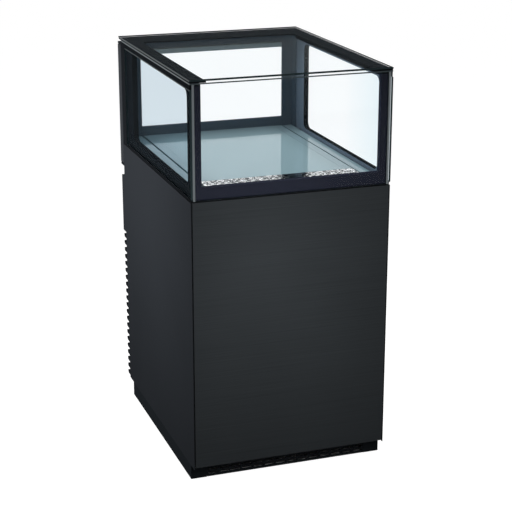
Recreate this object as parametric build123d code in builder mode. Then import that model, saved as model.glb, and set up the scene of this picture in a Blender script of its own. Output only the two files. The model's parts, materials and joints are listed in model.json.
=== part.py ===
from build123d import *
import os
from math import cos, radians, sin

os.makedirs("parts", exist_ok=True)

# Refrigerated cube display: a steel cabinet on a recessed plinth, under a glass cube with a rear door.
# Lengths are millimetres. X runs right, Y runs back and Z runs up; the front faces -Y.
# The origin is on the floor, under the middle of the whole outline.

# Overall sizes
width = 600.0
body_depth = 750.0
height = 1200.0
cabinet_top = 860.0
rear_reach = 42.0
handle_reach = 38.0

# Plinth
plinth_height = 45.0
plinth_front_setback = 36.0
plinth_rear_setback = 45.0
plinth_wall = 3.0
plinth_flange = 24.0
grille_recess = 2.0
grille_block_depth = 12.0
slot_columns = 14
slot_rows = 2
slot_pitch = 35.7
slot_width = 30.0
slot_height = 7.0
slot_row_pitch = 12.0
slot_middle_height = 16.5
slot_end_margin = 2.0
foot_pad_radius = 18.0
foot_pad_height = 8.0
foot_stem_radius = 5.0
foot_inset = 55.0

# Cabinet sheet metal
skin = 1.5
pan_skin = 2.0
pan_flange = 22.0
pan_front_setback = 20.0
pan_rear_setback = 2.0
inlet_side_margin = 80.0
inlet_depth = 70.0
inlet_setback = 50.0
front_panel_bottom = 51.0
front_panel_gap = 4.0
front_panel_depth = 20.0
side_panel_setback = 1.0
side_flange = 12.0
cube_joint = 4.0

# Chassis
post_side = 20.0
bar_height = 20.0

# Insulated well and its collar
collar_height = 8.0
collar_setback = 3.0
well_depth = 212.0
well_floor = 35.0
well_side_wall = 44.0
well_front_wall = 30.0
well_rear_wall = 38.0
well_clearance = 0.5
drain_radius = 8.0

# Glazing units of the cube
glass_unit = 28.0
outer_pane = 6.0
inner_pane = 5.0
pane_gap = 0.3
pane_bevel = 2.0
front_pane_inset = 13.5
front_side_border = 20.0
front_bottom_border = 36.0
strip_inset = 7.0
strip_width = 6.0
strip_depth = 3.0
side_pane_end = 43.0
side_window_front = 46.0
side_window_rear = 110.0
side_window_bottom = 30.0
side_window_top = 7.0
side_window_radius = 22.0
bottom_rail_height = 5.0
top_rail_height = 14.0
rail_setback = 1.0

# Roof
roof_thickness = 14.0
roof_overhang = 30.0
roof_outer_pane = 5.5
roof_inner_pane = 3.7
roof_side_border = 48.0
roof_back_border = 82.0
roof_border_radius = 20.0
roof_bevel_width = 10.0
roof_bevel_drop = 1.5

# Rear frame of the cube and its light
frame_plate = 12.0
frame_margin = 60.0
sill_height = 49.0
header_height = 44.0
frame_corner_radius = 3.0
lens_height = 17.0
lens_depth = 6.0
lens_end_margin = 6.0

# Deck
deck_thickness = 20.0
deck_side_margin = 65.0
deck_front = 131.0
deck_rim = 26.0
deck_rear_rim = 20.0
deck_front_rim = 2.0
deck_inlay_depth = 3.0
deck_inlay_gap = 0.5
deck_inlay_drop = 0.2
ledge_height = 19.0
ledge_groove = 6.0
air_grille_front = 35.0
air_grille_gap = 2.0
air_slot_length = 15.0
air_slot_width = 5.0
air_slot_pitch = 20.0
air_slot_row_pitch = 12.0
air_slot_rows = 7
air_slot_margin = 15.0

# Rear door
door_gap = 4.0
door_drop = 70.0
door_top_gap = 13.0
door_window_margin = 45.0
door_window_lift = 32.0
door_window_drop = 43.0
door_pane = 4.0
door_pane_lap = 12.0
door_pane_recess = 1.5
door_corner_radius = 2.0
gasket_width = 14.0
gasket_margin = 16.0
gasket_clearance = 0.3
hinge_inset = 8.0
hinge_setback = 19.0
pin_radius = 3.0
pin_running_gap = 0.05
pin_length = 14.0
hinge_plate = 6.0
hinge_strap = 3.0
hinge_width = 34.0
hinge_air = 2.5
hinge_leg = 26.0
handle_length = 160.0
handle_radius = 6.0
handle_post_radius = 5.0
handle_post_inset = 14.0
handle_margin = 21.0

# Control box on the back
box_drop = 115.0
box_height = 189.0
box_edge = 3.0
box_side_margin = 2.0
fascia_width = 250.0
fascia_height = 64.0
fascia_thickness = 2.0
fascia_lift = 98.0
fascia_x = 60.0
display_width = 56.0
display_height = 24.0
display_thickness = 1.5
display_x = -70.0
button_radius = 4.5
button_pitch = 15.0
button_first_x = -20.0
button_proud = 1.5
button_gap = 0.3
button_flange = 1.5
button_flange_thickness = 1.2
rocker_half_width = 7.0
rocker_half_height = 11.0
rocker_back = 5.0
rocker_front = 3.0
rocker_dip = 0.8
rocker_gap = 0.6
rocker_angle = 8.0
light_rocker_x = 62.0
power_rocker_x = 92.0
socket_width = 50.0
socket_height = 30.0
socket_flange = 2.5
socket_body_width = 32.0
socket_body_height = 24.0
socket_body_depth = 18.0
socket_cavity_width = 24.5
socket_cavity_height = 16.5
socket_cavity_depth = 14.0
socket_blade_pitch = 7.0
socket_blade_width = 2.0
socket_blade_height = 4.0
socket_blade_length = 11.0
socket_x = -150.0
board_width = 130.0
board_height = 90.0
board_thickness = 1.6
board_standoff = 8.0
board_standoff_radius = 3.0
board_part_height = 12.0
board_part_width = 26.0
board_part_depth = 22.5
board_part_columns = 3
board_part_rows = 2
board_standoff_inset = 6.0

# Louvred cover on the back
louvre_pitch = 24.3
louvre_first_base = 46.6
louvre_lip = 10.0
louvre_bend = 6.0
louvre_wall = 1.6
louvre_side_margin = 4.0
louvre_slot_height = 9.0
louvre_slot_lift = 4.0
louvre_slot_columns = 3
louvre_rib = 16.0
cover_box_gap = 1.0
screw_head_radius = 4.5
screw_head_height = 2.4
screw_shank_radius = 2.0
screw_hole_gap = 0.2
screw_shank_length = 8.0
screw_inset = 14.0

# Machine compartment
compressor_inset = 180.0
machine_setback = 185.0
compressor_radius = 75.0
compressor_height = 165.0
compressor_dome = 30.0
compressor_plate_width = 190.0
compressor_plate_depth = 130.0
compressor_plate = 3.0
mount_radius = 12.0
mount_height = 18.0
mount_inset = 16.0
condenser_half_width = 170.0
condenser_depth = 50.0
condenser_setback = 130.0
condenser_bottom = 62.0
condenser_height = 240.0
condenser_fins = 34
evaporator_half_width = 180.0
evaporator_depth = 110.0
evaporator_setback = 250.0
evaporator_lift = 14.0
evaporator_height = 120.0
evaporator_fins = 30
fin_thickness = 1.0
end_plate = 2.0
coil_tube_radius = 5.0
coil_tube_rows = 4
coil_tube_columns = 2
shroud_gap = 10.0
shroud_wall = 1.5
shroud_margin = 5.0
condenser_fan_radius = 95.0
evaporator_fan_radius = 48.0
fan_tip_gap = 5.0
fan_setback = 9.0
fan_hub_radius = 22.0
fan_hub_length = 18.0
fan_blades = 5
fan_blade_thickness = 2.0
fan_blade_pitch = 32.0
motor_radius = 28.0
motor_length = 44.0
motor_gap = 2.0
motor_shaft_radius = 3.0
motor_shaft_gap = 0.05
motor_foot_width = 30.0
motor_foot = 3.0
tray_inset = 150.0
tray_width = 180.0
tray_depth = 170.0
tray_height = 50.0
tray_wall = 2.0
drain_pipe_wall = 3.0
drain_end_gap = 24.0
pipe_radius = 4.0
pipe_bend = 24.0
suction_height = 140.0
suction_offset = 60.0
discharge_height = 120.0
discharge_lane = 30.0
liquid_height = 90.0
liquid_lane = 35.0
liquid_y = -60.0
dryer_radius = 13.0
dryer_bottom = 300.0
dryer_length = 110.0

# Planes that many pieces share
half_width = width / 2
overall_depth = body_depth + rear_reach + handle_reach
front_y = -overall_depth / 2
back_y = front_y + body_depth
cover_y = back_y + rear_reach
roof_underside = height - roof_thickness
collar_bottom = cabinet_top - collar_height
panel_top = cabinet_top - cube_joint
deck_top = cabinet_top + deck_thickness
chassis_half_width = half_width - skin - pan_skin
chassis_front = front_y + pan_front_setback + pan_skin
chassis_back = back_y - pan_rear_setback - pan_skin
pan_top = plinth_height + pan_skin
bar_bottom = collar_bottom - bar_height
deck_half_width = half_width - deck_side_margin
box_top = cabinet_top - box_drop
box_bottom = box_top - box_height
cover_top = box_bottom - cover_box_gap
fascia_middle = box_bottom + fascia_lift
compressor_x = compressor_inset - half_width
compressor_y = back_y - machine_setback
tray_x = half_width - tray_inset
tray_y = back_y - machine_setback


def block(x_span, y_span, z_span, mode=Mode.ADD):
    """Add or cut a box that runs between two x, two y and two z values."""
    spans = (x_span, y_span, z_span)
    middle = tuple((low + high) / 2 for low, high in spans)
    with Locations(middle):
        Box(*(high - low for low, high in spans), mode=mode)


def across(side, near, far):
    """Return the x span between two distances from the middle, on one side."""
    return tuple(sorted((side * near, side * far)))


def both(reach):
    """Return the span from -reach to reach."""
    return (-reach, reach)


def facing_back(y):
    """Return an upright plane at y whose normal points back, with x to the left and z up."""
    return Plane(origin=(0, y, 0), x_dir=(-1, 0, 0), z_dir=(0, 1, 0))


def save(piece, label):
    """Label a finished piece and write its file."""
    piece.part.label = label
    export_step(piece.part, f"parts/{label}.step")


# Plinth rails
grille_y = front_y + plinth_front_setback
plinth_back = back_y - plinth_rear_setback
with BuildPart() as plinth_rails:
    rail_y = (grille_y + grille_block_depth, plinth_back)
    for side in (-1, 1):
        block(across(side, half_width - plinth_wall, half_width), rail_y, (0, plinth_height))
        flange_x = across(side, half_width - plinth_flange, half_width - plinth_wall)
        block(flange_x, rail_y, (plinth_height - plinth_wall, plinth_height))
    rear_x = both(half_width - plinth_flange)
    block(rear_x, (plinth_back - plinth_wall, plinth_back), (0, plinth_height))
save(plinth_rails, "plinth_rails")

# Slotted front of the plinth
slots_half = slot_columns * slot_pitch / 2 + slot_end_margin
with BuildPart() as plinth_grille:
    panel_y = (grille_y + grille_recess, grille_y + grille_recess + plinth_wall)
    block(both(slots_half), panel_y, (0, plinth_height))
    end_y = (grille_y, grille_y + grille_block_depth)
    for side in (-1, 1):
        block(across(side, slots_half, half_width), end_y, (0, plinth_height))
    with BuildSketch(Plane.XZ.offset(-grille_y)):
        with Locations((0, slot_middle_height)):
            with GridLocations(slot_pitch, slot_row_pitch, slot_columns, slot_rows):
                Rectangle(slot_width, slot_height)
    extrude(amount=-grille_block_depth, mode=Mode.SUBTRACT)
save(plinth_grille, "plinth_grille")

# Levelling feet inside the plinth
foot_places = [
    (x, y)
    for x in (foot_inset - half_width, half_width - foot_inset)
    for y in (grille_y + grille_block_depth + foot_inset, plinth_back - foot_inset)
]
with BuildPart() as levelling_feet:
    with BuildSketch(Plane.XY):
        with Locations(*foot_places):
            Circle(foot_pad_radius)
    extrude(amount=foot_pad_height)
    with BuildSketch(Plane.XY.offset(foot_pad_height)):
        with Locations(*foot_places):
            Circle(foot_stem_radius)
    extrude(amount=plinth_height - foot_pad_height)
save(levelling_feet, "levelling_feet")

# Base pan with the air inlet
pan_half = half_width - skin
pan_y = (front_y + pan_front_setback, back_y - pan_rear_setback)
inlet_y = (front_y + inlet_setback, front_y + inlet_setback + inlet_depth)
with BuildPart() as base_pan:
    block(both(pan_half), pan_y, (plinth_height, plinth_height + pan_flange))
    inside_y = (pan_y[0] + pan_skin, pan_y[1] - pan_skin)
    block(both(pan_half - pan_skin), inside_y, (pan_top, plinth_height + pan_flange), Mode.SUBTRACT)
    block(both(half_width - inlet_side_margin), inlet_y, (plinth_height, pan_top), Mode.SUBTRACT)
save(base_pan, "base_pan")

# Places of the louvres and of the screws that hold their cover
louvre_count = 1 + int((cover_top - louvre_first_base - louvre_lip) / louvre_pitch)
louvre_bases = [louvre_first_base + n * louvre_pitch for n in range(louvre_count)]
slot_middle = louvre_slot_lift + louvre_slot_height / 2
screw_columns = (screw_inset - pan_half, pan_half - screw_inset)
screw_spots = [(x, base + slot_middle) for base in louvre_bases[1::6] for x in screw_columns]

# Chassis posts, the rear two with holes for the cover's screws
post_x = chassis_half_width - post_side
with BuildPart() as chassis_posts:
    post_z = (pan_top, bar_bottom)
    for side in (-1, 1):
        for post_y in (chassis_front, chassis_back - post_side):
            block(across(side, post_x, chassis_half_width), (post_y, post_y + post_side), post_z)
    with BuildSketch(facing_back(chassis_back)):
        with Locations(*screw_spots):
            Circle(screw_shank_radius + screw_hole_gap)
    extrude(amount=-screw_shank_length, mode=Mode.SUBTRACT)
save(chassis_posts, "chassis_posts")

# Chassis bars round the top of the posts, one solid each
with BuildPart() as chassis_bars:
    bar_z = (bar_bottom, collar_bottom)
    for bar_y in (chassis_front, chassis_back - post_side):
        block(both(chassis_half_width), (bar_y, bar_y + post_side), bar_z)
    bar_span = (chassis_front + post_side + well_clearance, chassis_back - post_side - well_clearance)
    for side in (-1, 1):
        block(across(side, post_x, chassis_half_width), bar_span, bar_z)
save(chassis_bars, "chassis_bars")

# Insulated well with the collar that carries the glass
well_half = post_x - well_clearance
well_y = (chassis_front + post_side + well_clearance, chassis_back - post_side - well_clearance)
cavity_half = well_half - well_side_wall
cavity_y = (well_y[0] + well_front_wall, well_y[1] - well_rear_wall)
well_bottom = collar_bottom - well_depth
cavity_floor = well_bottom + well_floor
with BuildPart() as insulated_well:
    block(both(well_half), well_y, (well_bottom, collar_bottom))
    block(both(chassis_half_width), (chassis_front, chassis_back), (collar_bottom, panel_top))
    collar_y = (front_y + collar_setback, back_y - collar_setback)
    block(both(half_width - collar_setback), collar_y, (panel_top, cabinet_top))
    block(both(cavity_half), cavity_y, (cavity_floor, cabinet_top), Mode.SUBTRACT)
    with Locations((tray_x, tray_y, (well_bottom + cavity_floor) / 2)):
        Cylinder(drain_radius, well_floor, mode=Mode.SUBTRACT)
save(insulated_well, "insulated_well")

# Side panels
side_y = (front_y + side_panel_setback, back_y)
for side, name in ((-1, "left"), (1, "right")):
    with BuildPart() as side_panel:
        block(across(side, half_width - skin, half_width), side_y, (plinth_height, panel_top))
        flange_x = across(side, half_width - side_flange, half_width - skin)
        block(flange_x, (chassis_back, back_y), (panel_top - skin, panel_top))
        block(flange_x, (back_y - skin, back_y), (cover_top, panel_top - skin))
        outer = side_panel.faces().sort_by(Axis.X)[0 if side < 0 else -1]
        fillet(outer.edges().filter_by(Axis.Z), skin / 2)
    save(side_panel, f"side_panel_{name}")

# Front panel
front_half = half_width - front_panel_gap
with BuildPart() as front_panel:
    block(both(front_half), (front_y, front_y + front_panel_depth), (front_panel_bottom, panel_top))
    inside_z = (front_panel_bottom + skin, panel_top - skin)
    inside_y = (front_y + skin, front_y + front_panel_depth)
    block(both(front_half - skin), inside_y, inside_z, Mode.SUBTRACT)
    rim = front_panel.faces().sort_by(Axis.Y)[0].edges()
    fillet(rim, skin / 2)
save(front_panel, "front_panel")

# Back panel behind the well
with BuildPart() as back_panel:
    block(both(half_width - side_flange), (back_y - skin, back_y), (cover_top, panel_top))
save(back_panel, "back_panel")

# Louvred cover over the machine compartment
cover_half = half_width - skin
louvre_half = half_width - louvre_side_margin
slot_span = (2 * louvre_half - (louvre_slot_columns + 1) * louvre_rib) / louvre_slot_columns
with BuildPart() as louvre_cover:
    block(both(cover_half), (back_y - skin, back_y), (plinth_height, cover_top))
    with BuildSketch(facing_back(back_y)):
        for base in louvre_bases:
            with Locations((0, base + slot_middle)):
                with GridLocations(slot_span + louvre_rib, 1, louvre_slot_columns, 1):
                    Rectangle(slot_span, louvre_slot_height)
        with Locations(*screw_spots):
            Circle(screw_shank_radius + screw_hole_gap)
    extrude(amount=-skin, mode=Mode.SUBTRACT)
    lip_y = cover_y - louvre_wall / 2
    for base in louvre_bases:
        with BuildSketch(Plane.YZ.offset(-louvre_half)):
            with BuildLine():
                gutter = ((back_y - skin, base), (lip_y, base), (lip_y, base + louvre_lip))
                FilletPolyline(*gutter, radius=louvre_bend)
            trace(line_width=louvre_wall)
        extrude(amount=2 * louvre_half)
save(louvre_cover, "louvre_cover")

# Control box: a folded cover with controls on its back face
box_half = half_width - box_side_margin
fascia_z = (fascia_middle - fascia_height / 2, fascia_middle + fascia_height / 2)
button_places = [(-(fascia_x + button_first_x + n * button_pitch), fascia_middle) for n in range(4)]
rocker_xs = (fascia_x + light_rocker_x, fascia_x + power_rocker_x)
rocker_reach = (rocker_half_height**2 + rocker_back**2) ** 0.5 + rocker_gap
display_middle = (-(fascia_x + display_x), fascia_middle)


def control_holes():
    """Draw the holes for buttons and rockers in a sketch that faces back."""
    with Locations(*button_places):
        Circle(button_radius + button_gap)
    with Locations(*((-x, fascia_middle) for x in rocker_xs)):
        Rectangle(2 * (rocker_half_width + rocker_gap), 2 * rocker_reach)


with BuildPart() as control_box:
    with BuildSketch(Plane.YZ.offset(-box_half)):
        with BuildLine():
            Polyline(
                (back_y, box_bottom),
                (cover_y, box_bottom),
                (cover_y, box_top - box_edge),
                (cover_y - box_edge, box_top),
                (back_y, box_top),
                close=True,
            )
        make_face()
    extrude(amount=2 * box_half)
    with BuildSketch(Plane.YZ.offset(skin - box_half)):
        with BuildLine():
            Polyline(
                (back_y, box_bottom + skin),
                (cover_y - skin, box_bottom + skin),
                (cover_y - skin, box_top - box_edge - skin / 2),
                (cover_y - box_edge - skin / 2, box_top - skin),
                (back_y, box_top - skin),
                close=True,
            )
        make_face()
    extrude(amount=2 * (box_half - skin), mode=Mode.SUBTRACT)
    with BuildSketch(facing_back(cover_y)):
        control_holes()
        with Locations((-socket_x, fascia_middle)):
            Rectangle(socket_body_width, socket_body_height)
    extrude(amount=-skin, mode=Mode.SUBTRACT)
save(control_box, "control_box")

# Fascia with a recess for the display window
with BuildPart() as control_fascia:
    with BuildSketch(facing_back(cover_y)):
        with Locations((-fascia_x, fascia_middle)):
            RectangleRounded(fascia_width, fascia_height, box_edge)
        with Locations(*button_places):
            Circle(button_radius + button_gap, mode=Mode.SUBTRACT)
        with Locations(*((-x, fascia_middle) for x in rocker_xs)):
            Rectangle(2 * (rocker_half_width + rocker_gap), 2 * rocker_reach, mode=Mode.SUBTRACT)
    extrude(amount=fascia_thickness)
    with BuildSketch(facing_back(cover_y + fascia_thickness)):
        with Locations(display_middle):
            Rectangle(display_width, display_height)
    extrude(amount=-display_thickness, mode=Mode.SUBTRACT)
save(control_fascia, "control_fascia")

# Display window
with BuildPart() as display_window:
    with BuildSketch(facing_back(cover_y + fascia_thickness - display_thickness)):
        with Locations(display_middle):
            Rectangle(display_width - 2 * pane_gap, display_height - 2 * pane_gap)
    extrude(amount=display_thickness)
save(display_window, "display_window")

# Buttons: a cap through the fascia with a flange behind the wall
for place, name in zip(button_places, ("set", "up", "down", "defrost")):
    with BuildPart() as button:
        flange_back = cover_y - skin - button_gap
        with BuildSketch(facing_back(flange_back - button_flange_thickness)):
            with Locations(place):
                Circle(button_radius + button_flange)
        extrude(amount=button_flange_thickness)
        with BuildSketch(facing_back(flange_back)):
            with Locations(place):
                Circle(button_radius)
        extrude(amount=skin + button_gap + fascia_thickness + button_proud)
        fillet(button.faces().sort_by(Axis.Y)[-1].edges(), button_proud / 3)
    save(button, f"button_{name}")

# Rockers, tilted to one side at rest
tilt = radians(-rocker_angle)
rocker_profile = (
    (-rocker_back, -rocker_half_height),
    (rocker_front + fascia_thickness, -rocker_half_height),
    (rocker_dip + fascia_thickness, 0),
    (rocker_front + fascia_thickness, rocker_half_height),
    (-rocker_back, rocker_half_height),
)
rocker_points = [
    (cover_y + y * cos(tilt) - z * sin(tilt), fascia_middle + y * sin(tilt) + z * cos(tilt))
    for y, z in rocker_profile
]
for rocker_x, name in zip(rocker_xs, ("light", "power")):
    with BuildPart() as rocker:
        with BuildSketch(Plane.YZ.offset(rocker_x - rocker_half_width)):
            with BuildLine():
                Polyline(*rocker_points, close=True)
            make_face()
        extrude(amount=2 * rocker_half_width)
    save(rocker, f"rocker_{name}")

# Mains inlet
with BuildPart() as power_inlet:
    socket_place = (-socket_x, fascia_middle)
    with BuildSketch(facing_back(cover_y)):
        with Locations(socket_place):
            RectangleRounded(socket_width, socket_height, box_edge)
    extrude(amount=socket_flange)
    with BuildSketch(facing_back(cover_y)):
        with Locations(socket_place):
            Rectangle(socket_body_width, socket_body_height)
    extrude(amount=-socket_body_depth)
    with BuildSketch(facing_back(cover_y + socket_flange)):
        with Locations(socket_place):
            Rectangle(socket_cavity_width, socket_cavity_height)
    extrude(amount=-socket_cavity_depth - socket_flange, mode=Mode.SUBTRACT)
    with BuildSketch(facing_back(cover_y - socket_cavity_depth)):
        with Locations(socket_place):
            with GridLocations(socket_blade_pitch, 1, 3, 1):
                Rectangle(socket_blade_width, socket_blade_height)
    extrude(amount=socket_blade_length)
save(power_inlet, "power_inlet")

# Control board on standoffs inside the box
with BuildPart() as control_board:
    board_place = (-fascia_x, fascia_middle)
    with BuildSketch(facing_back(back_y)):
        with Locations(board_place):
            standoff_run = board_width - 2 * board_standoff_inset
            standoff_rise = board_height - 2 * board_standoff_inset
            with GridLocations(standoff_run, standoff_rise, 2, 2):
                Circle(board_standoff_radius)
    extrude(amount=board_standoff)
    with BuildSketch(facing_back(back_y + board_standoff)):
        with Locations(board_place):
            Rectangle(board_width, board_height)
    extrude(amount=board_thickness)
    with BuildSketch(facing_back(back_y + board_standoff + board_thickness)):
        with Locations(board_place):
            part_pitch = (board_width / board_part_columns, board_height / board_part_rows)
            with GridLocations(*part_pitch, board_part_columns, board_part_rows):
                Rectangle(board_part_width, board_part_depth)
    extrude(amount=board_part_height)
save(control_board, "control_board")

# Screws of the louvred cover
with BuildPart() as cover_screws:
    with BuildSketch(facing_back(back_y)):
        with Locations(*screw_spots):
            Circle(screw_head_radius)
    extrude(amount=screw_head_height)
    with BuildSketch(facing_back(back_y)):
        with Locations(*screw_spots):
            Circle(screw_shank_radius)
    extrude(amount=-screw_shank_length)
save(cover_screws, "cover_screws")

# Deck tray with a rim and a pocket for the glossy inlay
sill_front = back_y - frame_plate
tray_span = (front_y + deck_front, sill_front - pane_gap)
pocket_half = deck_half_width - deck_rim
pocket_y = (tray_span[0] + deck_front_rim, tray_span[1] - deck_rear_rim)
with BuildPart() as deck_tray:
    block(both(deck_half_width), tray_span, (cabinet_top, deck_top))
    block(both(pocket_half), pocket_y, (deck_top - deck_inlay_depth, deck_top), Mode.SUBTRACT)
save(deck_tray, "deck_tray")

with BuildPart() as deck_inlay:
    inlay_y = (pocket_y[0] + deck_inlay_gap, pocket_y[1] - deck_inlay_gap)
    inlay_z = (deck_top - deck_inlay_depth, deck_top - deck_inlay_drop)
    block(both(pocket_half - deck_inlay_gap), inlay_y, inlay_z)
save(deck_inlay, "deck_inlay")

# Perforated air grille in front of the deck, with staggered slots
grille_span = (front_y + air_grille_front, tray_span[0] - air_grille_gap)
grille_middle = (grille_span[0] + grille_span[1]) / 2
air_slot_columns = int((2 * deck_half_width - 2 * air_slot_margin) / air_slot_pitch)
first_row = -(air_slot_rows - 1) / 2 * air_slot_row_pitch
with BuildPart() as air_grille:
    block(both(deck_half_width), grille_span, (cabinet_top, deck_top))
    with BuildSketch(Plane.XY.offset(deck_top)):
        for row in range(air_slot_rows):
            shift = air_slot_pitch / 4 if row % 2 else -air_slot_pitch / 4
            with Locations((shift, grille_middle + first_row + row * air_slot_row_pitch)):
                with GridLocations(air_slot_pitch, 1, air_slot_columns, 1):
                    Rectangle(air_slot_length, air_slot_width)
    extrude(amount=-deck_thickness, mode=Mode.SUBTRACT)
save(air_grille, "air_grille")

# Ledges along the sides of the deck
unit_inside = half_width - glass_unit
ledge_y = (front_y + glass_unit + pane_gap, sill_front - pane_gap)
with BuildPart() as side_ledges:
    for side in (-1, 1):
        ledge_x = across(side, deck_half_width + ledge_groove, unit_inside)
        block(ledge_x, ledge_y, (cabinet_top, cabinet_top + ledge_height))
save(side_ledges, "side_ledges")

# Front outer pane
front_glass_half = half_width - front_pane_inset
unit_z = (cabinet_top, roof_underside)
with BuildPart() as front_pane:
    block(both(front_glass_half), (front_y, front_y + outer_pane), unit_z)
save(front_pane, "front_pane")

# Side outer panes with bevelled top and bottom edges
side_pane_y = (front_y, back_y - side_pane_end - pane_gap)
side_pane_z = (cabinet_top + bottom_rail_height, roof_underside - top_rail_height)
for side, name in ((-1, "left"), (1, "right")):
    with BuildPart() as side_pane:
        block(across(side, half_width - outer_pane, half_width), side_pane_y, side_pane_z)
        outer = side_pane.faces().sort_by(Axis.X)[0 if side < 0 else -1]
        chamfer(outer.edges().filter_by(Axis.Y), pane_bevel)
    save(side_pane, f"{name}_pane")

# Roof outer pane, bevelled on the sides and the back
roof_y = (front_y, back_y + roof_overhang)
with BuildPart() as roof_pane:
    block(both(half_width), roof_y, (height - roof_outer_pane, height))
    top_edges = roof_pane.faces().sort_by(Axis.Z)[-1].edges()
    side_edges = top_edges.filter_by(Axis.Y)
    back_edge = top_edges.filter_by(Axis.X).sort_by(Axis.Y)[-1:]
    chamfer(side_edges + back_edge, roof_bevel_drop, roof_bevel_width)
save(roof_pane, "roof_pane")

# Inner panes of the four units, one solid each
inner_z = (cabinet_top + bottom_rail_height, roof_underside - pane_gap)
side_inner_z = (cabinet_top + bottom_rail_height, roof_underside - top_rail_height)
with BuildPart() as inner_panes:
    front_inner_y = (front_y + glass_unit - inner_pane, front_y + glass_unit)
    block(both(unit_inside - pane_gap), front_inner_y, inner_z)
    for side in (-1, 1):
        pane_x = across(side, unit_inside, unit_inside + inner_pane)
        block(pane_x, (front_y + glass_unit + pane_gap, side_pane_y[1]), side_inner_z)
    roof_inner_y = (front_y, back_y)
    roof_inner_z = (roof_underside, roof_underside + roof_inner_pane)
    block(both(half_width - rail_setback), roof_inner_y, roof_inner_z)
save(inner_panes, "inner_panes")

# Black borders between the panes, one solid each
with BuildPart() as glass_borders:
    front_border_y = (front_y + outer_pane + pane_gap, front_y + glass_unit - inner_pane - pane_gap)
    border_half = front_glass_half - front_side_border
    border_z = (cabinet_top, roof_underside - pane_gap)
    block(both(front_glass_half), front_border_y, border_z)
    window_z = (cabinet_top + front_bottom_border, roof_underside)
    block(both(border_half), front_border_y, window_z, Mode.SUBTRACT)
    for side in (-1, 1):
        near = unit_inside + inner_pane + pane_gap
        far = half_width - outer_pane - pane_gap
        start_x = near if side > 0 else -far
        window_y = (front_y + side_window_front, back_y - side_window_rear)
        window_z = (cabinet_top + side_window_bottom, side_pane_z[1] - side_window_top)
        ring_y = (front_y + glass_unit, side_pane_y[1])
        window_size = (window_y[1] - window_y[0], window_z[1] - window_z[0])
        with BuildSketch(Plane.YZ.offset(start_x)):
            with Locations((sum(ring_y) / 2, sum(side_pane_z) / 2)):
                Rectangle(ring_y[1] - ring_y[0], side_pane_z[1] - side_pane_z[0])
            with Locations((sum(window_y) / 2, sum(window_z) / 2)):
                RectangleRounded(*window_size, side_window_radius, mode=Mode.SUBTRACT)
        extrude(amount=far - near)
    roof_border_z = (roof_underside + roof_inner_pane + pane_gap, height - roof_outer_pane - pane_gap)
    clear_half = half_width - roof_side_border
    clear_y = (front_y, back_y - roof_back_border)
    with BuildSketch(Plane.XY.offset(roof_border_z[0])):
        with Locations((0, (roof_y[0] + roof_y[1]) / 2)):
            Rectangle(2 * (half_width - rail_setback), roof_y[1] - roof_y[0] - 2 * rail_setback)
        with Locations((0, (clear_y[0] + clear_y[1]) / 2)):
            with Locations((0, -roof_border_radius)):
                RectangleRounded(
                    2 * clear_half,
                    clear_y[1] - clear_y[0] + 2 * roof_border_radius,
                    roof_border_radius,
                    mode=Mode.SUBTRACT,
                )
    extrude(amount=roof_border_z[1] - roof_border_z[0])
save(glass_borders, "glass_borders")

# Silver strips at the two front corners
strip_far = half_width - strip_inset
strip_near = strip_far - strip_width
with BuildPart() as corner_strips:
    for side in (-1, 1):
        block(across(side, strip_near, strip_far), (front_y, front_y + strip_depth), unit_z)
save(corner_strips, "corner_strips")

# Black seals behind the strips
with BuildPart() as corner_seals:
    seal_z = (cabinet_top, roof_underside - top_rail_height)
    for side in (-1, 1):
        seal_x = across(side, front_glass_half, half_width - outer_pane - pane_gap)
        block(seal_x, (front_y + strip_depth, front_y + glass_unit), seal_z)
save(corner_seals, "corner_seals")


def side_rails(z_span, setback):
    """Add a rail on each side: a long outer run and an inner run between front glass and rear frame."""
    for side in (-1, 1):
        outer_x = across(side, front_glass_half, half_width - setback)
        block(outer_x, (front_y + strip_depth, side_pane_y[1]), z_span)
        inner_x = across(side, unit_inside, front_glass_half)
        block(inner_x, (front_y + glass_unit + pane_gap, side_pane_y[1]), z_span)


# Rails above and below the side panes
with BuildPart() as top_rails:
    side_rails((roof_underside - top_rail_height, roof_underside), rail_setback)
save(top_rails, "top_rails")

with BuildPart() as bottom_rails:
    for side in (-1, 1):
        outer_x = across(side, half_width - outer_pane, half_width - collar_setback)
        block(outer_x, (front_y + strip_depth, side_pane_y[1]), (cabinet_top, side_pane_z[0]))
save(bottom_rails, "bottom_rails")

# Rear frame of the cube
opening_half = half_width - frame_margin
sill_top = cabinet_top + sill_height
header_bottom = roof_underside - header_height
with BuildPart() as rear_frame:
    block(both(half_width), (sill_front, back_y), unit_z)
    for side in (-1, 1):
        block(across(side, unit_inside, half_width), (back_y - side_pane_end, sill_front), unit_z)
    with BuildSketch(facing_back(back_y)):
        with Locations((0, (sill_top + header_bottom) / 2)):
            RectangleRounded(2 * opening_half, header_bottom - sill_top, frame_corner_radius)
    extrude(amount=-frame_plate, mode=Mode.SUBTRACT)
save(rear_frame, "rear_frame")

# Light bar on the header
with BuildPart() as light_lens:
    lens_z = (header_bottom, header_bottom + lens_height)
    block(both(opening_half - lens_end_margin), (sill_front - lens_depth, sill_front), lens_z)
    fillet(light_lens.faces().sort_by(Axis.Y)[0].edges().filter_by(Axis.X), lens_depth / 2)
save(light_lens, "light_lens")

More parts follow.
